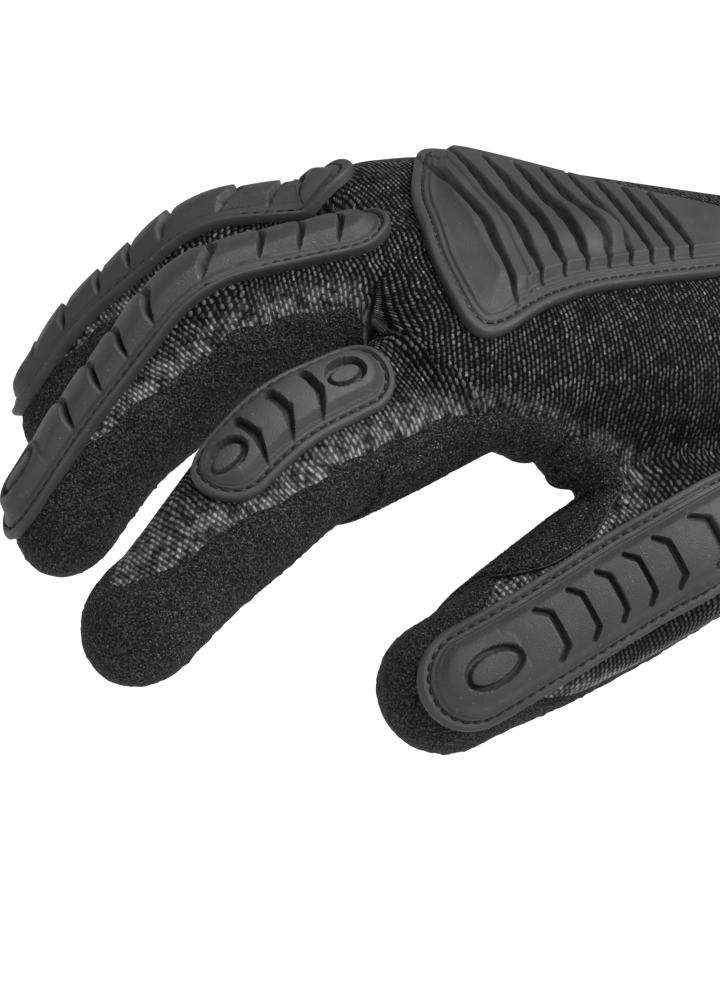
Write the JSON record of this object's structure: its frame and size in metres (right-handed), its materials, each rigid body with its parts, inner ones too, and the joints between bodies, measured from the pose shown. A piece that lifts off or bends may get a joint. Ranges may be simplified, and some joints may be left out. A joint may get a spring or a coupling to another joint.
{
  "type": "impact glove",
  "caption": "Right-hand knitted work glove in its worn shape, with a sandy foam palm dip, thumb web patch and moulded rubber impact guards on the back.",
  "frame": {"origin": "middle of the wrist opening, in the plane of the cuff's rim", "axes": "-X from the wrist opening towards the fingertips, -Y towards the thumb side, +Z out of the back of the hand"},
  "size_m": [0.2341, 0.1397, 0.094],
  "materials": {
    "knit": "coarse seamless knit",
    "dip": "matt sandy foam",
    "patch": "matt sandy foam on fabric",
    "guard": "matt moulded",
    "hem": "overlocked thread"
  },
  "bodies": {
    "root": {"knit_liner": "knit", "palm_dip": "dip", "crotch_patch": "patch", "index_guard": "guard", "middle_guard": "guard", "ring_guard": "guard", "pinky_guard": "guard", "thumb_guard": "guard", "back_guard": "guard", "cuff_hem": "hem"}
  },
  "joints": []
}
